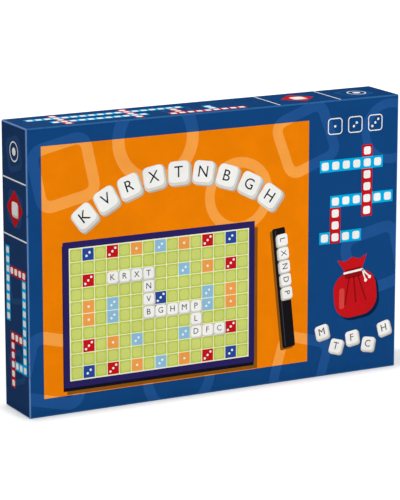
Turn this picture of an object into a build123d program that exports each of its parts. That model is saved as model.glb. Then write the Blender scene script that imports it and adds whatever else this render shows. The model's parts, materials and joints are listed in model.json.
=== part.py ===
from build123d import *
from math import copysign, hypot
import os

# Word tile game in a telescoping set-up box that stands on one long edge.
# X runs along the width, Y along the depth with the printed front at -Y, and Z up.
# The origin is at the middle of the face that the box stands on. Sizes are in millimetres.

# Outside of the closed box
box_width = 370.0
box_height = 255.0
box_depth = 52.0

# Set-up box construction, the same for the lid and the tray
greyboard = 1.8
wrap_paper = 0.25
stay_paper = 0.12
stay_gap = 0.04
stay_width = 18.0
edge_radius = 1.5
turn_in = 15.0

# How the lid sits on the tray
lid_fit = 0.55
lid_rim_step = 1.0
rim_gap = 1.5

# Clearances of the contents
slip = 0.3
lay_gap = 0.2

# Folding game board
panel_board = 2.0
print_paper = 0.2
backing_paper = 0.2
face_gap = 0.2
fold_bead_radius = 0.3
board_corner = 5.0
board_recess = 1.0
board_side_play = 3.0
board_top_play = 4.8

# Rules sheet
sheet_paper = 0.3
sheet_side_play = 30.5
sheet_top_play = 32.8

# Letter tile
tile_size = 19.0
tile_corner = 4.0
slab_height = 4.4
slab_round = 0.7
crown_step = 2.3
crown_corner = 3.4
crown_height = 1.0
crown_round_share = 0.5
recess_fit = 0.3
recess_extra = 0.2

# Stacks of tiles in their well
tile_columns = 5
tile_rows = 4
tile_layers = 5
tile_gap = 0.3
stack_gap = 0.1

# Tile rack
rack_count = 4
rack_length = 162.0
rack_base = 26.0
rack_rise = 21.0
rack_wall = 1.6
rack_lip = 2.4
rack_lip_height = 6.5
rack_ledge = 7.0
rack_ledge_height = 3.2
rack_crest = 2.6
rack_crest_share = 2.5
rack_back_lean = 2.6
rack_round = 0.5
rack_hollows = 3

# Formed plastic insert
insert_sheet = 0.8
insert_corner = 6.0
bay_corner_share = 3.0
well_corner_share = 0.75
scoop_radius = 13.0
mouth_round = 0.5

# One overrun serves all through cuts
overrun = 2.0

# Layers of the box walls
glue_line = stay_paper + 2 * stay_gap
skin = glue_line + wrap_paper
wall = greyboard + skin
board_radius = edge_radius - skin
room_radius = edge_radius - wrap_paper

# Lid and tray
mid_height = box_height / 2
front_y = -box_depth / 2
back_y = box_depth / 2
lid_rim_y = back_y - lid_rim_step
tray_width = box_width - 2 * (wall + skin + lid_fit)
tray_height = box_height - 2 * (wall + skin + lid_fit)
tray_rim_y = front_y + wall + rim_gap
tray_floor_y = back_y - wall
mouth_width = tray_width - 2 * (wall + skin)
mouth_height = tray_height - 2 * (wall + skin)
seat_z = mid_height - mouth_height / 2 + slip

# Folding board and rules sheet, from the front to the back
board_width = mouth_width - 2 * board_side_play
half_height = mouth_height - slip - board_top_play
upper_backing_y = tray_rim_y + board_recess
upper_panel_y = upper_backing_y + backing_paper
upper_print_y = upper_panel_y + panel_board
lower_print_y = upper_print_y + print_paper + face_gap
lower_panel_y = lower_print_y + print_paper
lower_backing_y = lower_panel_y + panel_board
fold_y = lower_print_y - face_gap / 2
fold_z = seat_z + half_height + lay_gap + fold_bead_radius
sheet_width = mouth_width - 2 * sheet_side_play
sheet_height = mouth_height - slip - sheet_top_play
sheet_y = lower_backing_y + backing_paper + lay_gap

# Tile well, rack bay and the insert that they are formed in
crown_size = tile_size - 2 * crown_step
tile_pitch = tile_size + tile_gap
layer_pitch = slab_height + stack_gap
well_width = tile_columns * tile_pitch + tile_gap
well_height = tile_rows * tile_pitch + tile_gap
well_depth = tile_layers * layer_pitch + crown_height + lay_gap
well_corner = well_corner_share * tile_corner
rack_pitch = rack_base + slip
bay_width = rack_length + 2 * slip
bay_height = rack_count * rack_pitch + slip
bay_depth = rack_rise + 2 * lay_gap
bay_corner = bay_corner_share * slip
insert_width = mouth_width - 2 * slip
insert_height = mouth_height - 2 * slip
deck_y = sheet_y + sheet_paper + lay_gap
insert_depth = tray_floor_y - lay_gap - deck_y
deck_margin = (insert_width - bay_width - well_width - 2 * scoop_radius) / 3
bay_x = -insert_width / 2 + deck_margin + bay_width / 2
well_x = insert_width / 2 - deck_margin - scoop_radius - well_width / 2

os.makedirs("parts", exist_ok=True)


# The upright plane at depth y: its x is X, its y is Z, and it faces the front
def upright(y):
    return Plane.XZ.offset(-y)


# Labels a finished piece and writes it under its own name
def save(part, name):
    part.label = name
    export_step(part, f"parts/{name}.step")


# A block from its rim to its panel, rounded on every edge but those of the rim
def rounded_block(width, height, panel_y, rim_y, radius):
    run = rim_y - panel_y
    with BuildPart() as block:
        with BuildSketch(upright(rim_y)):
            with Locations((0, mid_height)):
                Rectangle(width, height)
        extrude(amount=run)
        panel = block.faces().sort_by(Axis.Y)[0 if run > 0 else -1]
        fillet(block.edges().filter_by(Axis.Y) + panel.edges(), radius)
    return block.part


# The greyboard shell of the lid or the tray: one panel with four walls folded from it
def folded_board(width, height, panel_y, rim_y):
    block = rounded_block(width, height, panel_y, rim_y, board_radius)
    run = rim_y - panel_y
    with BuildPart() as board:
        add(block)
        with BuildSketch(upright(rim_y)):
            with Locations((0, mid_height)):
                Rectangle(width - 2 * greyboard, height - 2 * greyboard)
        extrude(amount=run - copysign(greyboard, run), mode=Mode.SUBTRACT)
    return board.part


# The paper around a greyboard shell, over its rim and a little way down the inside
def paper_wrap(width, height, panel_y, rim_y):
    side = copysign(1, rim_y - panel_y)
    wrap_rim_y = rim_y + side * skin
    wrap_width = width + 2 * skin
    wrap_height = height + 2 * skin
    outside = rounded_block(wrap_width, wrap_height, panel_y - side * skin, wrap_rim_y, edge_radius)
    room = rounded_block(
        wrap_width - 2 * wrap_paper,
        wrap_height - 2 * wrap_paper,
        panel_y - side * glue_line,
        rim_y + side * glue_line,
        room_radius,
    )
    inner_width = width - 2 * (greyboard + glue_line)
    inner_height = height - 2 * (greyboard + glue_line)
    with BuildPart() as wrap:
        add(outside)
        add(room, mode=Mode.SUBTRACT)
        with BuildSketch(upright(wrap_rim_y)):
            with Locations((0, mid_height)):
                Rectangle(inner_width, inner_height)
        extrude(amount=side * (skin + turn_in))
        with BuildSketch(upright(wrap_rim_y)):
            with Locations((0, mid_height)):
                Rectangle(inner_width - 2 * wrap_paper, inner_height - 2 * wrap_paper)
        extrude(amount=side * (skin + turn_in), mode=Mode.SUBTRACT)
    return wrap.part


# Four strips of paper tape that hold the corners of a greyboard shell, under its wrap
def corner_stays(width, height, panel_y, rim_y):
    run = rim_y - panel_y
    near = stay_gap
    far = stay_gap + stay_paper
    with BuildPart() as stays:
        with BuildSketch(upright(rim_y)):
            with Locations((0, mid_height)):
                RectangleRounded(width + 2 * far, height + 2 * far, board_radius + far)
                RectangleRounded(
                    width + 2 * near, height + 2 * near, board_radius + near, mode=Mode.SUBTRACT
                )
                Rectangle(width - 2 * stay_width, height + 2 * wall, mode=Mode.SUBTRACT)
                Rectangle(width + 2 * wall, height - 2 * stay_width, mode=Mode.SUBTRACT)
        extrude(amount=run - copysign(edge_radius + overrun, run))
    return stays.part


# One layer of a board half, with its front face at depth front
def board_layer(front, thickness):
    with BuildPart() as layer:
        with BuildSketch(upright(front)) as outline:
            with Locations((0, seat_z + half_height / 2)):
                Rectangle(board_width, half_height)
            fillet(outline.vertices().group_by(Axis.Y)[0], board_corner)
        extrude(amount=-thickness)
    return layer.part


# Lid and tray: greyboard shell, printed wrap and corner stays of each
shells = {
    "lid": (box_width, box_height, front_y, lid_rim_y),
    "tray": (tray_width, tray_height, back_y, tray_rim_y),
}
for shell, (outer_width, outer_height, outer_panel_y, outer_rim_y) in shells.items():
    inward = copysign(skin, outer_rim_y - outer_panel_y)
    board_shape = (
        outer_width - 2 * skin,
        outer_height - 2 * skin,
        outer_panel_y + inward,
        outer_rim_y - inward,
    )
    save(folded_board(*board_shape), f"{shell}_board")
    save(paper_wrap(*board_shape), f"{shell}_wrap")
    save(corner_stays(*board_shape), f"{shell}_corner_stays")

# Folding board: the upper half lies in front of the lower one, print to print
board_layers = {
    "board_upper_backing": (upper_backing_y, backing_paper),
    "board_upper_panel": (upper_panel_y, panel_board),
    "board_upper_print": (upper_print_y, print_paper),
    "board_lower_print": (lower_print_y, print_paper),
    "board_lower_panel": (lower_panel_y, panel_board),
    "board_lower_backing": (lower_backing_y, backing_paper),
}
for layer_name, (layer_front, layer_thickness) in board_layers.items():
    save(board_layer(layer_front, layer_thickness), layer_name)

# Cloth bead along the fold line, which both halves turn on
with BuildPart() as board_fold_strip:
    with BuildSketch(Plane.YZ.offset(-board_width / 2)):
        with Locations((fold_y, fold_z)):
            Circle(fold_bead_radius)
    extrude(amount=board_width)
save(board_fold_strip.part, "board_fold_strip")

# Rules sheet, behind the board
with BuildPart() as rules_sheet:
    with BuildSketch(upright(sheet_y)):
        with Locations((0, seat_z + sheet_height / 2)):
            Rectangle(sheet_width, sheet_height)
    extrude(amount=-sheet_paper)
save(rules_sheet.part, "rules_sheet")


# Outline of a pocket of the insert: a rounded rectangle with a finger scoop on two facing sides
def pocket_outline(width, height, corner, scoop_spots):
    with BuildSketch() as outline:
        RectangleRounded(width, height, corner)
        with Locations(*scoop_spots):
            Circle(scoop_radius)
    return outline.sketch


# The same outline grown by the plastic that surrounds the pocket
def pocket_jacket(outline):
    with BuildSketch() as jacket:
        add(outline)
        offset(amount=insert_sheet)
    return jacket.sketch


# Formed insert: a deck with a skirt down to the tray's floor, a rack bay and a tile well
bay_scoops = [(0, bay_height / 2), (0, -bay_height / 2)]
bay_outline = pocket_outline(bay_width, bay_height, bay_corner, bay_scoops)
well_scoops = [(well_width / 2, 0), (-well_width / 2, 0)]
well_outline = pocket_outline(well_width, well_height, well_corner, well_scoops)
pockets = [
    (bay_outline, pocket_jacket(bay_outline), bay_x, bay_depth),
    (well_outline, pocket_jacket(well_outline), well_x, well_depth),
]
with BuildPart() as insert:
    with BuildSketch(upright(deck_y)):
        with Locations((0, mid_height)):
            RectangleRounded(insert_width, insert_height, insert_corner)
    extrude(amount=-insert_depth)
    with BuildSketch(upright(deck_y + insert_sheet)):
        with Locations((0, mid_height)):
            RectangleRounded(
                insert_width - 2 * insert_sheet,
                insert_height - 2 * insert_sheet,
                insert_corner - insert_sheet,
            )
    extrude(amount=-insert_depth, mode=Mode.SUBTRACT)
    for outline, jacket, pocket_x, pocket_depth in pockets:
        with BuildSketch(upright(deck_y)):
            with Locations((pocket_x, mid_height)):
                add(jacket)
        extrude(amount=-pocket_depth - insert_sheet)
        with BuildSketch(upright(deck_y)):
            with Locations((pocket_x, mid_height)):
                add(outline)
        extrude(amount=-pocket_depth, mode=Mode.SUBTRACT)
    fillet(insert.faces().sort_by(Axis.Y)[0].edges(), mouth_round)
save(insert.part, "insert")

# Racks: a lip and a ledge for the lower edge of the tiles, and a slope that they lean on
slope_foot = rack_lip + rack_ledge
crest_foot = rack_base - rack_back_lean - rack_crest
slope_share = (crest_foot - slope_foot) / (rack_rise - rack_ledge_height)
lean_share = rack_back_lean / rack_rise
hollow_top = rack_rise - rack_crest_share * rack_wall
hollow_length = (rack_length - (rack_hollows + 1) * rack_wall) / rack_hollows


# Front side of the hollow at a height over the rack's foot, one wall behind the slope
def hollow_front(height):
    return slope_foot + (height - rack_ledge_height) * slope_share + rack_wall * hypot(1, slope_share)


# Back side of the hollow at a height over the rack's foot, one wall inside the back
def hollow_back(height):
    return rack_base - height * lean_share - rack_wall * hypot(1, lean_share)


for rack_index in range(rack_count):
    foot = Vector(
        bay_x - rack_length / 2,
        deck_y + bay_depth - lay_gap,
        mid_height - bay_height / 2 + slip + rack_index * rack_pitch,
    )
    rack_end = Plane(foot, x_dir=(0, 0, 1), z_dir=(1, 0, 0))
    with BuildPart() as rack:
        with BuildSketch(rack_end) as profile:
            with BuildLine():
                Polyline(
                    (0, 0),
                    (rack_base, 0),
                    (rack_base - rack_back_lean, rack_rise),
                    (crest_foot, rack_rise),
                    (slope_foot, rack_ledge_height),
                    (rack_lip, rack_ledge_height),
                    (rack_lip, rack_lip_height),
                    (0, rack_lip_height),
                    close=True,
                )
            make_face()
            rims = profile.vertices().filter_by_position(Axis.Y, rack_lip_height, rack_rise)
            fillet(rims, rack_round)
        extrude(amount=rack_length)
        for hollow_index in range(rack_hollows):
            hollow_start = rack_wall + hollow_index * (hollow_length + rack_wall)
            with BuildSketch(rack_end.offset(hollow_start)):
                with BuildLine():
                    Polyline(
                        (hollow_front(-overrun), -overrun),
                        (hollow_back(-overrun), -overrun),
                        (hollow_back(hollow_top), hollow_top),
                        (hollow_front(hollow_top), hollow_top),
                        close=True,
                    )
                make_face()
            extrude(amount=hollow_length, mode=Mode.SUBTRACT)
    save(rack.part, f"rack_{rack_index + 1}")

# Letter tile: a slab with a raised crown, and a recess below that the next crown nests in
with BuildPart() as tile:
    with BuildSketch(upright(0)):
        RectangleRounded(tile_size, tile_size, tile_corner)
    extrude(amount=slab_height)
    fillet(tile.faces().sort_by(Axis.Y)[0].edges(), slab_round)
    with BuildSketch(upright(-slab_height)):
        RectangleRounded(crown_size, crown_size, crown_corner)
    extrude(amount=crown_height)
    fillet(tile.faces().sort_by(Axis.Y)[0].edges(), crown_round_share * crown_height)
    with BuildSketch(upright(0)):
        recess_size = crown_size + 2 * recess_fit
        RectangleRounded(recess_size, recess_size, crown_corner + recess_fit)
    extrude(amount=crown_height + recess_extra, mode=Mode.SUBTRACT)

# Stacks of tiles, faces to the front, in columns and rows from the well's lower left corner
first_tile_x = well_x - (tile_columns - 1) / 2 * tile_pitch
first_tile_y = deck_y + well_depth - stack_gap
first_tile_z = mid_height - (tile_rows - 1) / 2 * tile_pitch
for stack_index in range(tile_columns * tile_rows):
    row, column = divmod(stack_index, tile_columns)
    tile_x = first_tile_x + column * tile_pitch
    tile_z = first_tile_z + row * tile_pitch
    spots = [(tile_x, first_tile_y - layer * layer_pitch, tile_z) for layer in range(tile_layers)]
    with BuildPart() as stack:
        with Locations(*spots):
            add(tile.part)
    save(stack.part, f"tile_stack_{stack_index + 1:02d}")
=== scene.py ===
import bpy
import bmesh
import json
import math
import random
from mathutils import Matrix, Vector


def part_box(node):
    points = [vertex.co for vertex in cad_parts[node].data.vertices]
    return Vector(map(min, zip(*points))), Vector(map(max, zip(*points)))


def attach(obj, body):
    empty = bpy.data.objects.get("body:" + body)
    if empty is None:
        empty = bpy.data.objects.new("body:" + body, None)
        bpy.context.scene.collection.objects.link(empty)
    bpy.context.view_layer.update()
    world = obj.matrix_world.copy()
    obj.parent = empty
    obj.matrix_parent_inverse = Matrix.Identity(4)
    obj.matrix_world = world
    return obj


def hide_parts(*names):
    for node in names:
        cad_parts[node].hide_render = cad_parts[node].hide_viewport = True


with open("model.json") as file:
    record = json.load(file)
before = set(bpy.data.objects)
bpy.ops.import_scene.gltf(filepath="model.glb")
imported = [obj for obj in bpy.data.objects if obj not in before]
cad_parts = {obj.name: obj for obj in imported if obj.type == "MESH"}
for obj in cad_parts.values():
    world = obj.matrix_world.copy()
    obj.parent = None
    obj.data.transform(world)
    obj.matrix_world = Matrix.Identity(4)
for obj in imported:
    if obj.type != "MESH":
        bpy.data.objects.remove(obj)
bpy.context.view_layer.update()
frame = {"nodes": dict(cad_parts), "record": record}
nodes = frame["nodes"]
mm = 0.001
print("frame loaded:", len(nodes), "nodes")


# Colours are written as on a print sheet and turned to linear light here
def ink(hexCode):
    values = [int(hexCode[i:i + 2], 16) / 255 for i in (1, 3, 5)]
    return [v / 12.92 if v <= 0.04045 else ((v + 0.055) / 1.055) ** 2.4 for v in values] + [1.0]


def shade(colour, factor):
    return [min(1.0, c * factor) for c in colour[:3]] + [1.0]


noiseSpan = (0.3, 0.7)  # most of a noise's values lie between these


# A material with an Object coordinate feed, its shader and a few short helpers
class Finish:
    def __init__(self, name):
        self.material = bpy.data.materials.new(name)
        self.material.use_nodes = True
        self.tree = self.material.node_tree
        self.shader = self.tree.nodes["Principled BSDF"]
        self.coords = self.add("ShaderNodeTexCoord").outputs["Object"]

    def add(self, kind, **settings):
        node = self.tree.nodes.new(kind)
        for key, value in settings.items():
            setattr(node, key, value)
        return node

    def link(self, source, target):
        self.tree.links.new(source, target)

    def feed(self, socket, value):
        if isinstance(value, bpy.types.NodeSocket):
            self.link(value, socket)
        else:
            socket.default_value = value

    def noise(self, scale, detail=2.0, roughness=0.5, stretch=None):
        node = self.add("ShaderNodeTexNoise")
        node.inputs["Scale"].default_value = scale
        node.inputs["Detail"].default_value = detail
        node.inputs["Roughness"].default_value = roughness
        vector = self.coords
        if stretch:
            mapping = self.add("ShaderNodeMapping")
            mapping.inputs["Scale"].default_value = stretch
            self.link(vector, mapping.inputs["Vector"])
            vector = mapping.outputs["Vector"]
        self.link(vector, node.inputs["Vector"])
        return node.outputs["Fac"]

    def ramp(self, source, stops):
        stops = list(stops)
        node = self.add("ShaderNodeValToRGB")
        elements = node.color_ramp.elements
        while len(elements) < len(stops):
            elements.new(0.5)
        for element, (place, colour) in zip(elements, stops):
            element.position = place
            element.color = colour
        self.link(source, node.inputs["Fac"])
        return node.outputs["Color"]

    def fade(self, source, low, high):
        return self.ramp(source, zip(noiseSpan, (low, high)))

    # sockets 6 and 7 in and 2 out are the colour ones of a mix node
    def mix(self, factor, first, second):
        node = self.add("ShaderNodeMix", data_type="RGBA")
        for socket, value in ((node.inputs[0], factor), (node.inputs[6], first), (node.inputs[7], second)):
            self.feed(socket, value)
        return node.outputs[2]

    def math(self, operation, first, second=0.0):
        node = self.add("ShaderNodeMath", operation=operation)
        self.feed(node.inputs[0], first)
        self.feed(node.inputs[1], second)
        return node.outputs[0]

    def spread(self, source, low, high):
        node = self.add("ShaderNodeMapRange")
        node.inputs["To Min"].default_value = low
        node.inputs["To Max"].default_value = high
        self.link(source, node.inputs["Value"])
        return node.outputs["Result"]

    def colour(self, source):
        self.link(source, self.shader.inputs["Base Color"])

    def rough(self, source, low, high):
        self.link(self.spread(source, low, high), self.shader.inputs["Roughness"])

    def shine(self, level):
        self.shader.inputs["Specular IOR Level"].default_value = level

    def bump(self, source, strength, distance):
        node = self.add("ShaderNodeBump")
        node.inputs["Strength"].default_value = strength
        node.inputs["Distance"].default_value = distance
        self.link(source, node.inputs["Height"])
        self.link(node.outputs["Normal"], self.shader.inputs["Normal"])


# Laminated print: a little mottling in the ink, fine paper grain under a satin film
laminate = {
    "mottleScale": 35.0, "mottleDetail": 3.0, "mottle": 0.05,
    "grainScale": 2600.0, "grainDetail": 1.0, "grain": 0.06, "grainDepth": 0.05 * mm,
    "gloss": (0.65, 0.78), "shine": 0.005,
}


def laminatedInk(name, colour):
    finish = Finish(name)
    cloud = finish.noise(laminate["mottleScale"], laminate["mottleDetail"])
    grain = finish.noise(laminate["grainScale"], laminate["grainDetail"])
    low, high = shade(colour, 1 - laminate["mottle"]), shade(colour, 1 + laminate["mottle"])
    finish.colour(finish.fade(cloud, low, high))
    finish.rough(grain, *laminate["gloss"])
    finish.bump(grain, laminate["grain"], laminate["grainDepth"])
    finish.shine(laminate["shine"])
    return finish.material


inks = {
    "deepBlue": "#12457E", "ghostBlue": "#205392", "sideNavy": "#1D3B67", "sideGhost": "#254875",
    "topBlue": "#043C71", "topGhost": "#154A80", "trayNavy": "#16335F", "trayGhost": "#1F3F70",
    "orange": "#F18204", "ghostOrange": "#FDA346", "boardNavy": "#2A2360", "boardEdge": "#15131F",
    "cream": "#F2F2D2", "lime": "#CDD873", "limeDark": "#B9CB50", "red": "#C5161D", "redShade": "#8E1014",
    "redLight": "#D8453F", "blueShadow": "#0A2344",
    "gridBlue": "#27499C", "gridOrange": "#F0A04B", "gridSky": "#8DBFDD", "cyan": "#00AEE6",
    "white": "#F6F6F3", "tileShade": "#B9B6AC", "tileSide": "#DAD8CF", "rackBlack": "#17161A",
    # The two edge inks are painted highlights for the fold edges, mixed with rub wear: pale for the short
    # folds, dimmer for the long folds
    "rackSheen": "#3A393F", "edgeWearHighlightPale": "#6C91C8", "edgeWearHighlightDim": "#2C6095", "softShadow": "#8A5414",
    "inkGrey": "#5B5F66",
}
inkMaterials = {name: laminatedInk("print_" + name, ink(code)) for name, code in inks.items()}
print("inks ready:", len(inkMaterials))


# Flat letters: one mesh for each, a unit high and centred on the origin
glyphs = {"weight": 0.0, "curveSteps": 3}
glyphMeshes = {}


def glyphMesh(character):
    if character not in glyphMeshes:
        curve = bpy.data.curves.new("glyph", "FONT")
        curve.body = character
        curve.offset = glyphs["weight"]
        curve.resolution_u = glyphs["curveSteps"]
        holder = bpy.data.objects.new("glyph", curve)
        bpy.context.scene.collection.objects.link(holder)
        bpy.context.view_layer.update()
        evaluated = holder.evaluated_get(bpy.context.evaluated_depsgraph_get())
        mesh = bpy.data.meshes.new_from_object(evaluated)
        bpy.data.objects.remove(holder)
        mesh.materials.clear()
        xs = [vert.co.x for vert in mesh.vertices]
        ys = [vert.co.y for vert in mesh.vertices]
        middle = Matrix.Translation((-(min(xs) + max(xs)) / 2, -(min(ys) + max(ys)) / 2, 0.0))
        mesh.transform(Matrix.Scale(1.0 / (max(ys) - min(ys)), 4) @ middle)
        glyphMeshes[character] = mesh
    return glyphMeshes[character]


# A flat face of the object with its own u and v axes, for print that lies on it
def facePlane(origin, u, v):
    u, v = Vector(u), Vector(v)
    n = u.cross(v)
    return Matrix((
        (u.x, v.x, n.x, origin[0]), (u.y, v.y, n.y, origin[1]), (u.z, v.z, n.z, origin[2]), (0, 0, 0, 1),
    ))


# Where a group of motifs lies on a face, how it is turned and how large it is
def layOut(u, v, turn=0.0, scale=1.0):
    shift = Matrix.Translation((u * mm, v * mm, 0.0))
    return shift @ Matrix.Rotation(math.radians(turn), 4, "Z") @ Matrix.Diagonal((scale, scale, 1.0, 1.0))


printing = {"layerStep": 0.049, "cornerRings": 3, "frameRings": 5, "discSides": 20, "ringSides": 48}


# Printed motifs on one face: each is a flat patch on a numbered layer, sizes in millimetres
class Print:
    def __init__(self, name, plane, limits=None, layerStep=printing["layerStep"]):
        self.name = name
        self.plane = plane
        self.limits = limits
        self.layerStep = layerStep * mm
        self.bm = bmesh.new()
        self.inkNames = []
        self.lay = Matrix.Identity(4)

    def place(self, u, v, layer, turn=0.0):
        lift = Matrix.Translation((0.0, 0.0, layer * self.layerStep))
        return self.plane @ lift @ self.lay @ layOut(u, v, turn)

    def inkIndex(self, inkName):
        if inkName not in self.inkNames:
            self.inkNames.append(inkName)
        return self.inkNames.index(inkName)

    def tint(self, faces, inkName):
        for face in faces:
            face.material_index = self.inkIndex(inkName)

    def rect(self, u, v, width, height, layer, inkName, turn=0.0, corner=0.0, rings=printing["cornerRings"]):
        size = Matrix.Diagonal((width * mm, height * mm, 1.0, 1.0))
        verts = bmesh.ops.create_grid(self.bm, x_segments=1, y_segments=1, size=0.5, matrix=size)["verts"]
        faces = list({face for vert in verts for face in vert.link_faces})
        if corner:
            cut = bmesh.ops.bevel(
                self.bm, geom=verts, offset=corner * mm, affect="VERTICES", segments=rings,
                profile=0.5, material=-1,
            )
            faces = list({face for vert in cut["verts"] for face in vert.link_faces})
        verts = list({vert for face in faces for vert in face.verts})
        bmesh.ops.transform(self.bm, matrix=self.place(u, v, layer, turn), verts=verts)
        self.tint(faces, inkName)
        return faces

    def disc(self, u, v, radius, layer, inkName, sides=printing["discSides"], turn=0.0):
        verts = bmesh.ops.create_circle(self.bm, cap_ends=True, segments=sides, radius=radius * mm)["verts"]
        faces = list({face for vert in verts for face in vert.link_faces})
        bmesh.ops.transform(self.bm, matrix=self.place(u, v, layer, turn), verts=verts)
        self.tint(faces, inkName)
        return faces

    def hollow(self, faces, line, inkName):
        rim = bmesh.ops.inset_region(
            self.bm, faces=faces, thickness=line * mm, use_boundary=True, use_even_offset=True,
        )
        bmesh.ops.delete(self.bm, geom=faces, context="FACES_ONLY")
        self.tint(rim["faces"], inkName)

    def frame(self, u, v, width, height, line, layer, inkName, turn=0.0, corner=0.0):
        faces = self.rect(u, v, width, height, layer, inkName, turn, corner, printing["frameRings"])
        self.hollow(faces, line, inkName)

    def ring(self, u, v, radius, line, layer, inkName):
        self.hollow(self.disc(u, v, radius, layer, inkName, printing["ringSides"]), line, inkName)

    def patch(self, corners, layer, inkName):
        spot = self.place(0.0, 0.0, layer)
        verts = [self.bm.verts.new(spot @ Vector((u * mm, v * mm, 0.0))) for u, v in corners]
        self.tint([self.bm.faces.new(verts)], inkName)

    def glyph(self, character, u, v, height, layer, inkName, turn=0.0):
        stamp = glyphMesh(character).copy()
        size = Matrix.Diagonal((height * mm, height * mm, 1.0, 1.0))
        stamp.transform(self.place(u, v, layer, turn) @ size)
        for polygon in stamp.polygons:
            polygon.material_index = self.inkIndex(inkName)
        self.bm.from_mesh(stamp)
        bpy.data.meshes.remove(stamp)

    def trim(self):
        for axis, (low, high) in enumerate(self.limits):
            for edge, away in ((low, -1), (high, 1)):
                spot, normal = Vector((0, 0, 0)), Vector((0, 0, 0))
                spot[axis], normal[axis] = edge * mm, away
                bmesh.ops.bisect_plane(
                    self.bm, geom=[*self.bm.verts, *self.bm.edges, *self.bm.faces], dist=1e-9,
                    plane_co=self.plane @ spot, plane_no=self.plane.to_3x3() @ normal, clear_outer=True,
                )

    def finish(self, body, slotName):
        if self.limits:
            self.trim()
        normal = self.plane.to_3x3() @ Vector((0, 0, 1))
        self.bm.normal_update()
        turned = [face for face in self.bm.faces if face.normal.dot(normal) < 0]
        bmesh.ops.reverse_faces(self.bm, faces=turned)
        mesh = bpy.data.meshes.new(self.name)
        self.bm.to_mesh(mesh)
        self.bm.free()
        for inkName in self.inkNames:
            mesh.materials.append(inkMaterials[inkName])
        piece = bpy.data.objects.new(self.name, mesh)
        bpy.context.scene.collection.objects.link(piece)
        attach(piece, body)
        return piece


# Printed paper of the lid and the tray: over the panel and walls, over the rim and a little way inside
wraps = {
    "room": 0.27, "standRoom": 0.12, "radius": 1.23, "segments": 5, "sheet": 0.10, "turnIn": 15.0,
    "rimStep": 2.40, "flatNormal": 0.999, "longFoldNormal": 0.2,
    # The wear stops place the pale edge colour, which is painted highlight as well as rub wear
    "wearScale": 160.0, "wearDetail": 4.0, "wearRoughness": 0.6, "wearHighlightStops": (0.22, 0.40, 0.68, 0.88),
    "wearBump": 0.05, "wearDepth": 0.1 * mm,
}


# The fold edges show pale rub marks of the film over the print; the pale colour is also a painted highlight,
# stronger on the short folds than on the long ones
def foldEdgeWearHighlight(name, base, pale):
    finish = Finish(name)
    rubHighlightNoise = finish.noise(wraps["wearScale"], wraps["wearDetail"], wraps["wearRoughness"])
    finish.colour(finish.ramp(rubHighlightNoise, zip(wraps["wearHighlightStops"], (base, pale, pale, base))))
    finish.rough(rubHighlightNoise, *laminate["gloss"])
    finish.bump(rubHighlightNoise, wraps["wearBump"], wraps["wearDepth"])
    finish.shine(laminate["shine"])
    return finish.material


# The paper's outside corners, a little inside its solid so that the print layers have room
def paperBox(node, panelSide, standRoom):
    low, high = [Vector(corner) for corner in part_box(node)]
    room = wraps["room"] * mm
    low += Vector((room, room if panelSide < 0 else 0.0, standRoom * mm))
    high -= Vector((room, room if panelSide > 0 else 0.0, room))
    return low, high


def makePaper(name, node, body, panelSide, low, high, faceInks):
    bm = bmesh.new()
    size, centre = high - low, (high + low) / 2
    bmesh.ops.create_cube(bm, size=1.0, matrix=Matrix.Translation(centre) @ Matrix.Diagonal((*size, 1.0)))
    mouth = [face for face in bm.faces if face.normal.y * panelSide < -0.5]
    bmesh.ops.delete(bm, geom=mouth, context="FACES_ONLY")
    folds = [edge for edge in bm.edges if not edge.is_boundary]
    bmesh.ops.bevel(
        bm, geom=folds, offset=wraps["radius"] * mm, affect="EDGES", segments=wraps["segments"],
        profile=0.5, material=-1,
    )
    step = 2 * wraps["rimStep"] * mm
    overRim = Matrix.Diagonal((1 - step / size.x, 1.0, 1 - step / size.z, 1.0))
    inside = Matrix.Translation((0.0, panelSide * wraps["turnIn"] * mm, 0.0))
    rim = [edge for edge in bm.edges if edge.is_boundary]
    for move in (overRim, inside):
        grown = bmesh.ops.extrude_edge_only(bm, edges=rim)["geom"]
        rim = [item for item in grown if isinstance(item, bmesh.types.BMEdge) and item.is_boundary]
        verts = [item for item in grown if isinstance(item, bmesh.types.BMVert)]
        bmesh.ops.transform(bm, matrix=move, space=Matrix.Translation(-centre), verts=verts)
    bmesh.ops.recalc_face_normals(bm, faces=bm.faces)
    panel = max(bm.faces, key=lambda face: face.calc_center_median().y * panelSide)
    if panel.normal.y * panelSide < 0:
        bmesh.ops.reverse_faces(bm, faces=bm.faces)
    for face in bm.faces:  # slots: panel, short walls, long walls, short folds, long folds
        x, y, z = (abs(value) for value in face.normal)
        if max(x, y, z) > wraps["flatNormal"]:
            face.material_index = 0 if y > 0.5 else 1 if x > 0.5 else 2
        else:
            face.material_index = 4 if x < wraps["longFoldNormal"] else 3
            face.smooth = True
    bmesh.ops.solidify(bm, geom=bm.faces, thickness=wraps["sheet"] * mm)
    mesh = bpy.data.meshes.new(name)
    bm.to_mesh(mesh)
    bm.free()
    for inkName in faceInks:
        mesh.materials.append(inkMaterials[inkName])
    # Fold-edge materials: painted highlight mixed with rub wear, pale on the short folds and dimmer on the
    # long folds
    for edgeName, edgeInk in (("Short", "edgeWearHighlightPale"), ("Long", "edgeWearHighlightDim")):
        mesh.materials.append(foldEdgeWearHighlight(name + edgeName + "Edge", ink(inks[faceInks[0]]), ink(inks[edgeInk])))
    piece = bpy.data.objects.new(name, mesh)
    bpy.context.scene.collection.objects.link(piece)
    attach(piece, body)
    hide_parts(node)


# How far print may reach on a face of the paper, clear of its fold edges
def faceLimits(*spans):
    return [(low / mm + wraps["radius"], high / mm - wraps["radius"]) for low, high in spans]


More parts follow.
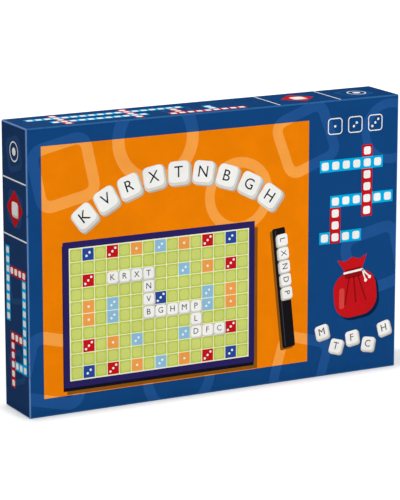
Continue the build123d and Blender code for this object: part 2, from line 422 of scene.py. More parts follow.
lidLow, lidHigh = paperBox("lid_wrap", -1, wraps["standRoom"])
trayLow, trayHigh = paperBox("tray_wrap", 1, wraps["room"])
lidInks, trayInks = ("deepBlue", "sideNavy", "topBlue"), ("trayNavy", "trayNavy", "trayNavy")
makePaper("lidPaper", "lid_wrap", "lid", -1, lidLow, lidHigh, lidInks)
makePaper("trayPaper", "tray_wrap", "tray", 1, trayLow, trayHigh, trayInks)
print("lid and tray papers made")


# Motifs that the printed faces share

# A white tile as printed: shadow, side and face, with one letter in no word order; sizes are shares of it
tilePrint = {
    "step": 0.3, "corner": 0.2, "letter": 0.46, "face": (0.9, 0.88),
    "shadeAt": (0.096, -0.096), "sideAt": (0.024, -0.036), "faceAt": (0.0, 0.024),
}


def printedTile(art, u, v, size, layer, turn=0.0, letter=None):
    t = tilePrint
    step, corner = t["step"], size * t["corner"]
    below, side, face = ((u + size * x, v + size * y) for x, y in (t["shadeAt"], t["sideAt"], t["faceAt"]))
    width, height = (size * share for share in t["face"])
    art.rect(*below, size, size, layer, "tileShade", turn, corner)
    art.rect(*side, size, size, layer + step, "tileSide", turn, corner)
    art.rect(*face, width, height, layer + 2 * step, "white", turn, corner)
    if letter:
        art.glyph(letter, *face, size * t["letter"], layer + 3 * step, "rackBlack", turn)


# Coloured strips that cross as the words of a puzzle do, with a blank tile on each cell
stripPrint = {"lift": 0.4, "tile": 0.66, "corner": 0.16}


def crossStrips(art, u, v, cell, strips, layer):
    inkOf = {}
    for column, row, count, down, inkName in strips:
        for n in range(count):
            inkOf.setdefault((column, row + n) if down else (column + n, row), inkName)
    tile, corner = cell * stripPrint["tile"], cell * stripPrint["corner"]
    for (column, row), inkName in inkOf.items():
        across, up = u + column * cell, v - row * cell
        art.rect(across, up, cell, cell, layer, inkName)
        art.rect(across, up, tile, tile, layer + stripPrint["lift"], "white", 0.0, corner)


# Ink and count of pips for one square of the printed grid, in diamond rings round its middle
ringInks = {
    0: ("gridBlue", 3), 4: ("gridSky", 2), 6: ("gridOrange", 1), 8: ("red", 3), 10: ("gridBlue", 2),
    12: ("gridOrange", 2), 14: ("gridSky", 1), 16: ("red", 3),
}


def squareInk(column, row, columns, rows):
    across = abs(2 * column - columns + 1) // 2
    along = abs(2 * row - rows + 1) // 2
    return ringInks.get(across + along, (None, 0)) if across % 2 == 0 else (None, 0)


# White dots in a slanting row, sizes as shares of the square under them
pipPrint = {"radius": 0.1, "step": 0.26, "sides": 14}


def pips(art, u, v, size, count, layer):
    for p in range(count):
        step = (p - (count - 1) / 2) * size * pipPrint["step"]
        art.disc(u + step, v + step, size * pipPrint["radius"], layer, "white", pipPrint["sides"])


# Rows of squares, plain ones with a paler middle; the rings go round the middle of allRows rows
gridPrint = {"lift": 0.4, "middle": 0.78, "corner": 0.2}


def gridSquares(art, left, low, columns, rows, cell, gap, layer, allRows):
    g, side = gridPrint, cell - gap
    for row in range(rows):
        for column in range(columns):
            u, v = left + (column + 0.5) * cell, low + (row + 0.5) * cell
            special, count = squareInk(column, row, columns, allRows)
            art.rect(u, v, side, side, layer, special or "limeDark")
            if special:
                pips(art, u, v, side, count, layer + g["lift"])
            else:
                middle = side * g["middle"]
                art.rect(u, v, middle, middle, layer + g["lift"], "lime", 0.0, side * g["corner"])


# The board as pictured: shadow, edge, panel, ground and squares, with a staircase of tiles
boardPicture = {
    "columns": 15, "rows": 10, "cell": 12.4, "gap": 0.8, "margin": 7.0, "thick": 3.2, "edgeShift": 0.64,
    "layer": 2.0, "lift": 0.4, "tile": 0.96, "tileLayer": 4.5, "tileLetters": "KRXTNVBGHMPLDFC",
    "tilePath": (
        (3, 7), (4, 7), (5, 7), (6, 7), (6, 6), (6, 5), (6, 4), (7, 4),
        (8, 4), (9, 4), (10, 4), (10, 3), (10, 2), (11, 2), (12, 2),
    ),
}


def printedBoard(art, u, v, turn, scale, shadowInk="softShadow"):
    b = boardPicture
    cell, gap, thick = b["cell"], b["gap"], b["thick"]
    innerWidth, innerHeight = b["columns"] * cell, b["rows"] * cell
    width, height = innerWidth + 2 * b["margin"], innerHeight + 2 * b["margin"]
    left, low = -innerWidth / 2, -innerHeight / 2
    shadow, edge, panel, ground, squares = (b["layer"] + k * b["lift"] for k in range(5))
    art.lay = layOut(u, v, turn, scale)
    art.rect(thick, -2 * thick, width, height, shadow, shadowInk)
    art.rect(-b["edgeShift"], -thick, width, height, edge, "boardEdge")
    art.rect(0.0, 0.0, width, height, panel, "boardNavy")
    art.rect(0.0, 0.0, innerWidth + 2 * gap, innerHeight + 2 * gap, ground, "cream")
    gridSquares(art, left, low, b["columns"], b["rows"], cell, gap, squares, b["rows"])
    for (column, row), letter in zip(b["tilePath"], b["tileLetters"]):
        across, up = left + (column + 0.5) * cell, low + (row + 0.5) * cell
        printedTile(art, across, up, cell * b["tile"], b["tileLayer"], 0.0, letter)
    art.lay = Matrix.Identity(4)


# A rack as pictured: a dark bar with a lighter ledge, and tiles that stand on it
rackPicture = {
    "height": 13.0, "corner": 1.5, "shadowAt": (1.5, -2.5), "lift": 0.4,
    "ledge": 1.0, "ledgeShare": 0.97, "ledgeAt": -3.38, "tile": 11.5, "tileStep": 12.4, "tileAt": 2.99,
}


def printedRack(art, u, v, length, turn, letters, layer, scale=1.0):
    r = rackPicture
    art.lay = layOut(u, v, turn, scale)
    art.rect(*r["shadowAt"], length, r["height"], layer, "softShadow", 0.0, r["corner"])
    art.rect(0.0, 0.0, length, r["height"], layer + r["lift"], "rackBlack", 0.0, r["corner"])
    art.rect(0.0, r["ledgeAt"], length * r["ledgeShare"], r["ledge"], layer + 2 * r["lift"], "rackSheen")
    for k, letter in enumerate(letters):
        across = -length / 2 + r["tile"] + k * r["tileStep"]
        printedTile(art, across, r["tileAt"], r["tile"], layer + 3 * r["lift"], 0.0, letter)
    art.lay = Matrix.Identity(4)


# A drawstring bag as pictured: body, gathered neck with a frill, and a white cord
bagPicture = {
    "width": 36.0, "height": 34.0, "corner": 13.0, "cornerRings": 6, "shadowAt": (2.0, -2.5),
    "neck": 15.0, "neckLow": 1.0, "frill": 25.0, "frillHigh": 11.0, "dip": 2.4,
    "waves": (1.0, 0.5, 0.0, -0.5, -1.0), "gatherAt": 16.0, "gather": 7.0, "gatherCorner": 2.0,
    "lightAt": (-11.52, -1.36), "lightSize": (4.32, 15.64), "lightTurn": -6.0, "lightCorner": 2.0,
    "fold": 0.6, "foldShares": (-0.26, 0.0, 0.24), "foldHigh": 13.0, "foldLow": -6.8,
    "cord": 1.6, "cordOver": 2.0, "cordCorner": 0.7, "cordLeans": (14.0, 40.0),
    "cordEnd": 9.0, "cordEndWidth": 1.12, "cordEndCorner": 0.5, "cordBall": 1.28,
    "lifts": (0.4, 0.6, 0.8, 1.2, 1.6),  # body, frill, folds, cord and the balls on its ends
}


def printedBag(art, u, v, turn, layer, scale=1.0):
    b = bagPicture
    body, frill, folds, cord, ball = (layer + lift for lift in b["lifts"])
    size, neck, top = (b["width"], b["height"]), b["neck"] / 2, b["height"] / 2
    low, high = top + b["neckLow"], top + b["frillHigh"]
    art.lay = layOut(u, v, turn, scale)
    art.rect(*b["shadowAt"], *size, layer, "blueShadow", 0.0, b["corner"], b["cornerRings"])
    art.rect(0.0, 0.0, *size, body, "red", 0.0, b["corner"], b["cornerRings"])
    art.rect(*b["lightAt"], *b["lightSize"], folds, "redLight", b["lightTurn"], b["lightCorner"])
    wave = [(b["frill"] / 2 * share, high - k % 2 * b["dip"]) for k, share in enumerate(b["waves"])]
    art.patch([(-neck, low), (neck, low), *wave], frill, "red")
    art.rect(0.0, b["gatherAt"], b["neck"], b["gather"], folds, "redShade", 0.0, b["gatherCorner"])
    for share in b["foldShares"]:
        knot, foot, half = share * b["neck"], share * b["width"], b["fold"]
        leftEdge = [(knot - half, b["foldHigh"]), (foot - half, b["foldLow"])]
        rightEdge = [(foot + half, b["foldLow"]), (knot + half, b["foldHigh"])]
        art.patch(leftEdge + rightEdge, folds, "redShade")
    art.rect(0.0, top, b["neck"] + b["cordOver"], b["cord"], cord, "white", 0.0, b["cordCorner"])
    for lean in b["cordLeans"]:
        drop = b["cordEnd"] * math.cos(math.radians(lean)) / 2
        out = neck + b["cordEnd"] * math.sin(math.radians(lean)) / 2
        art.rect(out, top - drop, b["cordEndWidth"], b["cordEnd"], cord, "white", lean, b["cordEndCorner"])
        art.disc(2 * out - neck, top - 2 * drop, b["cordBall"], ball, "white")
    art.lay = Matrix.Identity(4)


# The rules sheet as pictured: columns of lines under red headings
sheetPicture = {
    "width": 50.0, "height": 36.0, "margin": 4.0, "gutter": 2.6, "columns": 3, "lines": 8, "line": 1.4,
    "shadowAt": (1.4, -1.8), "lift": 0.4,
}


def printedSheet(art, u, v, turn, layer):
    s = sheetPicture
    art.lay = layOut(u, v, turn)
    art.rect(*s["shadowAt"], s["width"], s["height"], layer, "softShadow")
    art.rect(0.0, 0.0, s["width"], s["height"], layer + s["lift"], "white")
    across = (s["width"] - 2 * s["margin"] + s["gutter"]) / s["columns"]
    down = (s["height"] - 2 * s["margin"]) / s["lines"]
    for column in range(s["columns"]):
        middle = (column - (s["columns"] - 1) / 2) * across
        for k in range(s["lines"]):
            inkName = "red" if k == 0 else "inkGrey"
            high = s["height"] / 2 - s["margin"] - (k + 0.5) * down
            art.rect(middle, high, across - s["gutter"], s["line"], layer + 2 * s["lift"], inkName)
    art.lay = Matrix.Identity(4)


# Small framed signs with one, two and three dots, sizes as shares of the sign
signPrint = {"line": 0.06, "corner": 0.22, "dots": 0.78}


def dotSign(art, u, v, size, dots, layer):
    art.frame(u, v, size, size, size * signPrint["line"], layer, "white", 0.0, size * signPrint["corner"])
    pips(art, u, v, size * signPrint["dots"], dots, layer)


# Front print, in millimetres from the middle of the standing edge
cover = {
    "fieldAt": (-40.0, 127.5), "fieldSize": (262.0, 222.0), "board": (-58.0, 88.0, 0.0, 0.94),
    "arcAt": (-40.0, 52.0), "arcRadius": 152.0, "arcStep": 9.2, "arcTile": 21.5, "arcLetters": "KVRXTNBGH",
    "rack": (66.0, 88.0, 112.0, -84.0), "rackLetters": "LXNDP",
    "stripsAt": (108.0, 206.0), "stripCell": 11.0,
    "strips": (
        (0, 1, 6, False, "cyan"), (4, 0, 6, True, "red"), (1, 4, 6, False, "cyan"),
        (1, 4, 4, True, "red"), (0, 7, 4, False, "cyan"),
    ),
    "signs": (118.0, 139.0, 160.0), "signHigh": 231.0, "signSize": 15.0,
    "ghosts": (
        (-150.0, 214.0, 62.0, 12.0), (-160.0, 40.0, 66.0, -14.0), (88.0, 222.0, 60.0, 20.0),
        (84.0, 14.0, 58.0, -16.0), (160.0, 104.0, 64.0, 12.0),
    ),
    "rings": ((-62.0, 236.0, 42.0), (20.0, 178.0, 34.0), (-40.0, 20.0, 36.0), (176.0, 222.0, 30.0)),
    "bag": (141.0, 74.0, 6.0), "bagScale": 1.25, "looseTile": 14.0, "looseLetters": "MTFCH",
    "looseTiles": (
        (106.0, 42.0, 12.0), (121.0, 27.0, -16.0), (138.0, 33.0, 8.0),
        (155.0, 25.0, -10.0), (172.0, 38.0, 14.0),
    ),
    "ghostLine": 0.17, "ghostCorner": 0.24, "ringLine": 0.28,  # shares of the squares and rings
    "ghostLayer": 0.5, "fieldLayer": 1.0, "fieldGhostLayer": 1.4, "motifLayer": 2.0, "looseLayer": 3.4,
}


# Large pale squares and rings, blue on the ground and orange on the field
def coverGhosts(art, layer, inkName):
    c = cover
    for u, v, size, turn in c["ghosts"]:
        art.frame(u, v, size, size, size * c["ghostLine"], layer, inkName, turn, size * c["ghostCorner"])
    for u, v, radius in c["rings"]:
        art.ring(u, v, radius, radius * c["ringLine"], layer, inkName)


# Tiles in an arch over the board
def tileArch(art):
    c = cover
    for k, letter in enumerate(c["arcLetters"]):
        turn = ((len(c["arcLetters"]) - 1) / 2 - k) * c["arcStep"]
        angle = math.radians(turn)
        u = c["arcAt"][0] - c["arcRadius"] * math.sin(angle)
        v = c["arcAt"][1] + c["arcRadius"] * math.cos(angle)
        printedTile(art, u, v, c["arcTile"], c["motifLayer"], turn, letter)


def frontPrint():
    c, motifLayer = cover, cover["motifLayer"]
    plane = facePlane((0.0, lidLow.y, 0.0), (1, 0, 0), (0, 0, 1))
    art = Print("frontPrint", plane, faceLimits((lidLow.x, lidHigh.x), (lidLow.z, lidHigh.z)))
    art.rect(*c["fieldAt"], *c["fieldSize"], c["fieldLayer"], "orange")
    coverGhosts(art, c["ghostLayer"], "ghostBlue")
    printedBoard(art, *c["board"])
    tileArch(art)
    printedRack(art, *c["rack"], c["rackLetters"], motifLayer)
    printedBag(art, *c["bag"], motifLayer, c["bagScale"])
    for (u, v, turn), letter in zip(c["looseTiles"], c["looseLetters"]):
        printedTile(art, u, v, c["looseTile"], c["looseLayer"], turn, letter)
    crossStrips(art, *c["stripsAt"], c["stripCell"], c["strips"], motifLayer)
    for k, u in enumerate(c["signs"]):
        dotSign(art, u, c["signHigh"], c["signSize"], k + 1, c["fieldLayer"])
    art.finish("lid", "lid_print")
    fieldLimits = [(at - size / 2, at + size / 2) for at, size in zip(c["fieldAt"], c["fieldSize"])]
    fieldGhosts = Print("fieldGhosts", plane, fieldLimits)
    coverGhosts(fieldGhosts, c["fieldGhostLayer"], "ghostOrange")
    fieldGhosts.finish("lid", "lid_print")


frontPrint()
print("front print made")

# Walls of the lid: dividing lines, crossing strips and a red lozenge
walls = {
    "line": 1.3, "sideLines": (206.0, 156.0), "topLines": (124.0, 62.0), "cell": 8.4,
    "ghost": 30.0, "ghostLine": 5.1, "ghostCorner": 7.0,
    "sideGhosts": ((229.0, 16.0), (181.0, -10.0), (112.0, 12.0), (40.0, 20.0)),
    "topGhosts": ((152.0, 14.0), (-30.0, -12.0), (-130.0, 18.0)),
    "lozenge": 24.0, "lozengeTurn": 45.0, "lozengeCorner": 1.5, "tile": 13.0,
    "ring": 9.0, "ringLine": 1.2, "dot": 3.6, "dotSides": 24,
    "sideStart": (-16.8, 142.0), "topStart": (-166.0, 16.8),
    "sideStrips": (
        (0, 0, 8, True, "cyan"), (0, 2, 5, False, "red"), (4, 2, 10, True, "cyan"),
        (1, 9, 3, False, "red"), (1, 9, 6, True, "red"), (2, 12, 3, False, "cyan"),
    ),
    "topStrips": (
        (0, 1, 10, False, "cyan"), (3, 0, 5, True, "red"), (2, 3, 11, False, "cyan"), (11, 0, 5, True, "red"),
        (9, 1, 9, False, "cyan"), (16, 1, 4, True, "red"), (15, 4, 9, False, "red"), (20, 2, 3, True, "cyan"),
    ),
    "ghostLayer": 0.4, "layer": 0.8, "tileLayer": 1.1,
}


# A wall's three fields in a row: one with a ring, one with the lozenge and one with the strips
def wallPrint(name, plane, kind):
    w, layer, upright = walls, walls["layer"], kind == "side"
    lines, ghosts, start, strips = (w[kind + word] for word in ("Lines", "Ghosts", "Start", "Strips"))
    halfDepth = (lidHigh.y - lidLow.y) / 2
    span = (lidLow.z, lidHigh.z) if upright else (lidLow.x, lidHigh.x)
    limits = faceLimits((-halfDepth, halfDepth), span)
    art = Print(name, plane, limits if upright else limits[::-1])
    depth = 2 * halfDepth / mm

    def spot(along):
        return (0.0, along) if upright else (along, 0.0)

    for place in lines:
        width, height = (depth, w["line"]) if upright else (w["line"], depth)
        art.rect(*spot(place), width, height, layer, "white")
    for place, turn in ghosts:
        art.frame(*spot(place), w["ghost"], w["ghost"], w["ghostLine"], w["ghostLayer"], kind + "Ghost",
                  turn, w["ghostCorner"])
    crossStrips(art, *start, w["cell"], strips, layer)
    middle = spot(sum(lines) / 2)
    art.rect(*middle, w["lozenge"], w["lozenge"], layer, "red", w["lozengeTurn"], w["lozengeCorner"])
    printedTile(art, *middle, w["tile"], w["tileLayer"])
    first = spot(2 * lines[0] - sum(lines) / 2)
    art.ring(*first, w["ring"], w["ringLine"], layer, "white")
    art.disc(*first, w["dot"], layer, "white", w["dotSides"])
    art.finish("lid", "lid_print")


middleY = (lidLow.y + lidHigh.y) / 2
for name, x, outward in (("leftPrint", lidLow.x, -1), ("rightPrint", lidHigh.x, 1)):
    wallPrint(name, facePlane((x, middleY, 0.0), (0, outward, 0), (0, 0, 1)), "side")
for name, z, outward in (("topPrint", lidHigh.z, 1), ("bottomPrint", lidLow.z, -1)):
    wallPrint(name, facePlane((0.0, middleY, z), (1, 0, 0), (0, outward, 0)), "top")
print("wall prints made")

# Small print as plain lines: a heading bar, then paragraphs whose last line is short
textPrint = {
    "heading": 3.4, "headingShare": 0.6, "headingDrop": 7.0, "layer": 1.0,
    "share": (0.92, 1.0), "lastShare": (0.4, 0.8), "paragraph": 6, "paragraphGap": 1.7,
}


def headingBar(art, left, v, width, inkName):
    length = width * textPrint["headingShare"]
    art.rect(left + length / 2, v, length, textPrint["heading"], textPrint["layer"], inkName)


def smallPrint(art, left, high, low, width, lineStep, line, inkName, draw):
    t = textPrint
    v, count = high - t["headingDrop"], 0
    while v > low:
        count += 1
        last = count % t["paragraph"] == 0
        length = width * draw.uniform(*t["lastShare" if last else "share"])
        art.rect(left + length / 2, v, length, line, t["layer"], inkName)
        v -= lineStep * (t["paragraphGap"] if last else 1.0)


# Back print on the tray: the board, lines of small print and the contents
backPanel = {
    "board": (78.0, 150.0, 9.0, 0.74), "inset": 9.0, "frameLine": 1.0, "frameCorner": 5.0, "seed": 8,
    "columnLefts": (-162.0, -114.0, -66.0), "columnWidth": 42.0, "columnHigh": 204.0, "columnLow": 92.0,
    "lineStep": 4.6, "line": 1.5, "stripsAt": (-158.0, 222.0), "stripCell": 9.5,
    "strips": ((0, 0, 9, False, "cyan"), (10, 0, 5, False, "red")),
    "boxes": (-138.0, -62.0, 14.0, 90.0), "boxSize": (68.0, 54.0), "boxHigh": 47.0, "boxCorner": 4.0,
    "smallBoard": (-8.0, 0.28), "racks": ((12.0, "KDV"), (-8.0, "")), "rackLength": 84.0, "rackScale": 0.66,
    "tileLetters": "RHXTMP", "tileColumns": 3, "tile": 15.0, "tileStep": 19.0,
    "tileTurns": (-12.0, -4.0, 4.0, 12.0), "sheetTurn": -6.0,
    "signs": (137.0, 151.0, 165.0), "signSize": 11.0, "signLow": 26.0,
    "ghosts": ((120.0, 60.0, 70.0, 14.0), (-20.0, 130.0, 80.0, -12.0), (160.0, 226.0, 50.0, 18.0)),
    "ghostLine": 0.16, "ghostCorner": 0.24,  # shares of the pale squares
    "ghostLayer": 0.4, "frameLayer": 0.8, "layer": 1.0, "motifLayer": 2.0,
}


# What the box holds, each kind in a box of its own
def contentsPrint(art):
    b, v, layer = backPanel, backPanel["boxHigh"], backPanel["motifLayer"]
    boardBox, rackBox, tileBox, sheetBox = b["boxes"]
    printedBoard(art, boardBox, v, *b["smallBoard"])
    for up, letters in b["racks"]:
        printedRack(art, rackBox, v + up, b["rackLength"], 0.0, letters, layer, b["rackScale"])
    rows = len(b["tileLetters"]) // b["tileColumns"]
    for k, letter in enumerate(b["tileLetters"]):
        row, column = divmod(k, b["tileColumns"])
        across = (column - (b["tileColumns"] - 1) / 2) * b["tileStep"]
        down = (row - (rows - 1) / 2) * b["tileStep"]
        turn = b["tileTurns"][k % len(b["tileTurns"])]
        printedTile(art, tileBox + across, v - down, b["tile"], layer, turn, letter)
    printedSheet(art, sheetBox, v, b["sheetTurn"], layer)


def backPrint():
    b, layer = backPanel, backPanel["layer"]
    draw = random.Random(b["seed"])
    limits = faceLimits((trayLow.x, trayHigh.x), (trayLow.z, trayHigh.z))
    art = Print("backPrint", facePlane((0.0, trayHigh.y, 0.0), (-1, 0, 0), (0, 0, 1)), limits)
    for u, v, size, turn in b["ghosts"]:
        line, corner = size * b["ghostLine"], size * b["ghostCorner"]
        art.frame(u, v, size, size, line, b["ghostLayer"], "trayGhost", turn, corner)
    middle = (trayLow.z + trayHigh.z) / 2 / mm
    width, height = (span / mm - 2 * b["inset"] for span in (trayHigh.x - trayLow.x, trayHigh.z - trayLow.z))
    art.frame(0.0, middle, width, height, b["frameLine"], b["frameLayer"], "orange", 0.0, b["frameCorner"])
    crossStrips(art, *b["stripsAt"], b["stripCell"], b["strips"], layer)
    for left in b["columnLefts"]:
        headingBar(art, left, b["columnHigh"], b["columnWidth"], "orange")
        smallPrint(art, left, b["columnHigh"], b["columnLow"], b["columnWidth"], b["lineStep"], b["line"],
                   "white", draw)
    for u in b["boxes"]:
        art.rect(u, b["boxHigh"], *b["boxSize"], layer, "orange", 0.0, b["boxCorner"])
    printedBoard(art, *b["board"], "blueShadow")
    contentsPrint(art)
    for k, u in enumerate(b["signs"]):
        dotSign(art, u, b["signLow"], b["signSize"], k + 1, layer)
    art.finish("tray", "tray_print")


backPrint()
print("back print made")


# Fibre stock of the CAD nodes; a noise is scale, detail, roughness and stretch
greyboard = {
    "noise": (900.0, 4.0, 0.7, (1.0, 1.0, 3.0)), "colours": ("#A7A198", "#B9B4AA"),
    "fleckNoise": (420.0, 2.0, 0.8), "fleckSpan": (0.62, 0.7), "fleck": "#8B8378", "fleckShare": 0.5,
    "gloss": (0.8, 0.95), "grain": 0.25, "grainDepth": 0.1 * mm,
}
kraftTape = {
    "noise": (1200.0, 4.0, 0.7, (1.0, 4.0, 1.0)), "colours": ("#9C7B54", "#B7946A"),
    "gloss": (0.6, 0.8), "grain": 0.15, "grainDepth": 0.05 * mm,
}
rulesPaper = {
    "noise": (1500.0, 3.0, 0.6), "colours": ("#ECEBE6", "#F5F4F0"),
    "gloss": (0.6, 0.8), "grain": 0.1, "grainDepth": 0.05 * mm,
}


def fibreFinish(name, stock):
    finish = Finish(name)
    fibre = finish.noise(*stock["noise"])
    base = finish.fade(fibre, *map(ink, stock["colours"]))
    if "fleck" in stock:
        spots = finish.ramp(finish.noise(*stock["fleckNoise"]),
                            zip(stock["fleckSpan"], (ink("#000000"), ink("#FFFFFF"))))
        base = finish.mix(finish.spread(spots, 0.0, stock["fleckShare"]), base, ink(stock["fleck"]))
    finish.colour(base)
    finish.rough(fibre, *stock["gloss"])
    finish.bump(fibre, stock["grain"], stock["grainDepth"])
    return finish.material


# Moulded plastics with a fine pebble grain
plastics = {
    "cloudScale": 25.0, "grainDepth": 0.08 * mm,
    "insertPlastic": {
        "colours": ("#1C3A72", "#21427E"), "gloss": (0.35, 0.5), "shine": 0.2,
        "grainScale": 900.0, "grain": 0.12,
    },
    "rackPlastic": {
        "colours": ("#141417", "#1D1D21"), "gloss": (0.3, 0.42), "shine": 0.4,
        "grainScale": 1400.0, "grain": 0.15,
    },
    "tilePlastic": {
        "colours": ("#EFEEE7", "#F6F5EF"), "gloss": (0.18, 0.28), "shine": 0.5,
        "grainScale": 1100.0, "grain": 0.05,
    },
}


def plasticFinish(name):
    plastic = plastics[name]
    finish = Finish(name)
    cloud = finish.noise(plastics["cloudScale"])
    pebble = finish.noise(plastic["grainScale"])
    finish.colour(finish.fade(cloud, *map(ink, plastic["colours"])))
    finish.rough(pebble, *plastic["gloss"])
    finish.bump(pebble, plastic["grain"], plastics["grainDepth"])
    finish.shine(plastic["shine"])
    return finish.material


# Board backing: dark paper with a linen emboss
linen = {
    "threadScale": 420.0, "distortion": 1.5, "colourSpan": (0.1, 0.8), "colours": ("#15151C", "#2B2B36"),
    "gloss": (0.5, 0.75), "emboss": 0.3, "embossDepth": 0.1 * mm,
}


def linenFinish():
    finish = Finish("boardBacking")
    threads = []
    for direction in ("X", "Z"):
        wave = finish.add("ShaderNodeTexWave", bands_direction=direction)
        wave.inputs["Scale"].default_value = linen["threadScale"]
        wave.inputs["Distortion"].default_value = linen["distortion"]
        finish.link(finish.coords, wave.inputs["Vector"])
        threads.append(wave.outputs["Fac"])
    weave = finish.math("MULTIPLY", *threads)
    finish.colour(finish.ramp(weave, zip(linen["colourSpan"], map(ink, linen["colours"]))))
    finish.rough(weave, *linen["gloss"])
    finish.bump(weave, linen["emboss"], linen["embossDepth"])
    return finish.material


slotFinishes = {
    "greyboard": fibreFinish("greyboard", greyboard),
    "kraft_tape": fibreFinish("kraftTape", kraftTape),
    "tray_print": inkMaterials["trayNavy"],
    "lid_print": inkMaterials["deepBlue"],
    "insert_plastic": plasticFinish("insertPlastic"),
    "rules_paper": fibreFinish("rulesPaper", rulesPaper),
    "board_print": inkMaterials["boardNavy"],
    "board_backing": linenFinish(),
    "rack_plastic": plasticFinish("rackPlastic"),
    "tile_plastic": plasticFinish("tilePlastic"),
}
for part in frame["record"]["subparts"]:
    node = nodes[part["node"]]
    node.data.materials.clear()
    node.data.materials.append(slotFinishes[part["material_slot"]])
print("CAD nodes finished")

# Game board print, one half at a time, the same on both sides of the fold
gameBoard = {
    "columns": 15, "rows": 10, "cell": 21.0, "gap": 1.2, "foldMargin": 3.0, "layerStep": 0.02,
    "groundLayer": 1.0, "squareLayer": 2.0,
}


def boardPrint(name, node, body, outward):
    low, high = [Vector(corner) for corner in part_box(node)]
    b = gameBoard
    columns, rows, cell, gap = (b[key] for key in ("columns", "rows", "cell", "gap"))
    y, across = (low.y, 1) if outward else (high.y, -1)
    art = Print(name, facePlane((0.0, y, high.z), (across, 0, 0), (0, 0, 1)), layerStep=b["layerStep"])
    width, height = columns * cell, rows * cell
    bottom = -b["foldMargin"] - height
    art.rect(0.0, bottom + height / 2, width + 2 * gap, height + 2 * gap, b["groundLayer"], "cream")
    gridSquares(art, -width / 2, bottom, columns, rows, cell, gap, b["squareLayer"], 2 * rows)
    art.finish(body, "board_print")


boardPrint("boardLowerSquares", "board_lower_print", "board_lower", True)
boardPrint("boardUpperSquares", "board_upper_print", "board_upper", False)
print("board squares made")

# Rules sheet: grey lines of print in columns, with small pictures; tile sizes are shares of a picture
rules = {
    "columns": 3, "margin": 16.0, "gutter": 9.0, "lineStep": 5.2, "line": 1.5, "seed": 5, "layerStep": 0.02,
    "picture": 20.0, "pictureAt": (70.0, 150.0), "pictureShare": 0.8, "clearAbove": 3.0, "closeBelow": 2.0,
    "tiles": 4, "tileStep": 0.62, "tile": 0.5, "tileCorner": 0.08, "pictureLayer": 1.0, "tileLayer": 2.0,
}


def rulesPicture(art, middle, v, width):
    r, tall = rules, rules["picture"]
    share, tile = r["pictureShare"], tall * r["tile"]
    art.rect(middle, v, width * share, tall * share, r["pictureLayer"], "lime")
    for k in range(r["tiles"]):
        across = middle + (k - (r["tiles"] - 1) / 2) * tall * r["tileStep"]
        art.rect(across, v, tile, tile, r["tileLayer"], "white", 0.0, tall * r["tileCorner"])


def rulesPrint():
    low, high = [Vector(corner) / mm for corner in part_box("rules_sheet")]
    r = rules
    draw = random.Random(r["seed"])
    plane = facePlane((0.0, low.y * mm, 0.0), (1, 0, 0), (0, 0, 1))
    art = Print("rulesLines", plane, layerStep=r["layerStep"])
    usable = high.x - low.x - 2 * r["margin"] - (r["columns"] - 1) * r["gutter"]
    width = usable / r["columns"]
    for column in range(r["columns"]):
        left = low.x + r["margin"] + column * (width + r["gutter"])
        top = high.z - r["margin"]
        headingBar(art, left, top, width, "red")
        for below in (*r["pictureAt"], top - low.z - r["margin"]):
            bottom = high.z - r["margin"] - below
            textLow = bottom + r["clearAbove"]
            smallPrint(art, left, top, textLow, width, r["lineStep"], r["line"], "inkGrey", draw)
            top = bottom - r["picture"] + r["closeBelow"]
            if top < low.z + r["margin"]:
                break
            rulesPicture(art, left + width / 2, bottom - r["picture"] / 2, width)
    art.finish("rules_sheet", "rules_paper")


rulesPrint()
print("rules sheet printed")

# One letter on the top tile of each stack, in no word order
stackLetters = {"order": "KXEOARTIVZBSUGLDPHMC", "height": 9.5, "lift": 0.015}


def letterStacks():
    for k, letter in enumerate(stackLetters["order"]):
        stack = f"tile_stack_{k + 1:02d}"
        low, high = [Vector(corner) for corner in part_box(stack)]
        middle = ((low.x + high.x) / 2, low.y, (low.z + high.z) / 2)
        plane = facePlane(middle, (1, 0, 0), (0, 0, 1))
        art = Print(f"letter_{k + 1:02d}", plane, layerStep=stackLetters["lift"])
        art.glyph(letter, 0.0, 0.0, stackLetters["height"], 1, "rackBlack")
        art.finish(stack, "tile_plastic")


letterStacks()
print("tile letters made")

# Floor, light and camera
studio = {
    "floorSize": 14.0, "floorColour": 0.86, "floorMottle": 1.01, "floorNoise": 3.0,
    "floorRoughness": 0.9, "floorShine": 0.1, "ambient": 0.40,
    "nearGlow": 0.34, "farGlow": 0.66, "nearReach": 1.2, "farReach": 2.0,
    "keyPlace": (0.9, -2.5, 0.95), "keySize": 1.6, "keyPower": 30.0,
    "fillPlace": (-1.6, -1.2, 1.4), "fillSize": 1.8, "fillPower": 1.5,
    "topPlace": (-0.15, 0.03, 2.4), "topSize": 0.16, "topPower": 21.0,
    "backPlace": (0.4, 2.7, 0.5), "backSize": 1.6, "backPower": 20.0,
    "aim": (0.0, 0.0, 0.12),
}


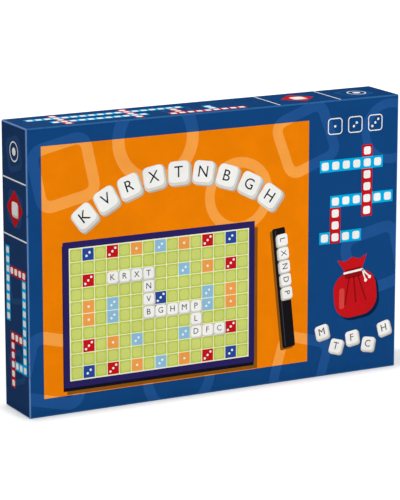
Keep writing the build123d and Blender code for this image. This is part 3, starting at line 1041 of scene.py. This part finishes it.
def makeFloor():
    bm = bmesh.new()
    bmesh.ops.create_grid(bm, x_segments=1, y_segments=1, size=studio["floorSize"] / 2)
    mesh = bpy.data.meshes.new("floor")
    bm.to_mesh(mesh)
    bm.free()
    floor = bpy.data.objects.new("floor", mesh)
    bpy.context.scene.collection.objects.link(floor)
    finish = Finish("floorPaper")
    pale = [studio["floorColour"]] * 3 + [1.0]
    finish.colour(finish.fade(finish.noise(studio["floorNoise"]), pale, shade(pale, studio["floorMottle"])))
    finish.shader.inputs["Roughness"].default_value = studio["floorRoughness"]
    finish.shine(studio["floorShine"])
    path = finish.add("ShaderNodeLightPath")
    seen = finish.math("MAXIMUM", path.outputs["Is Camera Ray"], path.outputs["Is Glossy Ray"])
    seen = finish.math("MAXIMUM", seen, path.outputs["Is Transmission Ray"])
    finish.shader.inputs["Emission Color"].default_value = (1.0, 1.0, 1.0, 1.0)
    away = finish.add("ShaderNodeVectorMath", operation="LENGTH")
    finish.link(finish.coords, away.inputs[0])
    glow = finish.add("ShaderNodeMapRange")
    for socket, key in (("From", "Reach"), ("To", "Glow")):
        glow.inputs[socket + " Min"].default_value = studio["near" + key]
        glow.inputs[socket + " Max"].default_value = studio["far" + key]
    finish.link(away.outputs["Value"], glow.inputs["Value"])
    strength = finish.math("MULTIPLY", seen, glow.outputs["Result"])
    finish.link(strength, finish.shader.inputs["Emission Strength"])
    mesh.materials.append(finish.material)


def makeWorld():
    world = bpy.data.worlds.new("studioAir")
    bpy.context.scene.world = world
    world.use_nodes = True
    tree = world.node_tree
    back = tree.nodes["Background"]
    back.inputs["Color"].default_value = (1.0, 1.0, 1.0, 1.0)
    path = tree.nodes.new("ShaderNodeLightPath")
    seen = path.outputs["Is Camera Ray"]
    for ray in ("Is Glossy Ray", "Is Transmission Ray"):
        either = tree.nodes.new("ShaderNodeMath")
        either.operation = "MAXIMUM"
        tree.links.new(seen, either.inputs[0])
        tree.links.new(path.outputs[ray], either.inputs[1])
        seen = either.outputs[0]
    strength = tree.nodes.new("ShaderNodeMapRange")
    strength.inputs["To Min"].default_value = studio["ambient"]
    strength.inputs["To Max"].default_value = 1.0
    tree.links.new(seen, strength.inputs["Value"])
    tree.links.new(strength.outputs["Result"], back.inputs["Strength"])


def areaLamp(name, place, size, power):
    lamp = bpy.data.lights.new(name, "AREA")
    lamp.shape = "DISK"
    lamp.size = size
    lamp.energy = power
    holder = bpy.data.objects.new(name, lamp)
    bpy.context.scene.collection.objects.link(holder)
    holder.location = place
    aim = Vector(studio["aim"]) - Vector(place)
    holder.rotation_euler = aim.to_track_quat("-Z", "Y").to_euler()


makeFloor()
makeWorld()
for lampName in ("key", "fill", "top", "back"):
    place, size, power = (studio[lampName + word] for word in ("Place", "Size", "Power"))
    areaLamp(lampName + "Lamp", place, size, power)

# View from the front left and a little above, with a long lens
view = {
    "azimuth": -27.88, "elevation": 13.03, "distance": 2.371, "lens": 191.3,
    "shiftX": -0.0106, "shiftY": -0.0058, "aimHeight": 0.1275, "reach": 50.0,
}


def makeCamera():
    side, rise = math.radians(view["azimuth"]), math.radians(view["elevation"])
    back = Vector((math.sin(side) * math.cos(rise), -math.cos(side) * math.cos(rise), math.sin(rise)))
    lens = bpy.data.cameras.new("camera")
    lens.lens = view["lens"]
    lens.shift_x = view["shiftX"]
    lens.shift_y = view["shiftY"]
    lens.clip_end = view["reach"]
    camera = bpy.data.objects.new("camera", lens)
    bpy.context.scene.collection.objects.link(camera)
    camera.location = Vector((0.0, 0.0, view["aimHeight"])) + back * view["distance"]
    camera.rotation_euler = (-back).to_track_quat("-Z", "Y").to_euler()
    bpy.context.scene.camera = camera


makeCamera()
bpy.context.scene.view_settings.view_transform = "Standard"
print("studio ready")
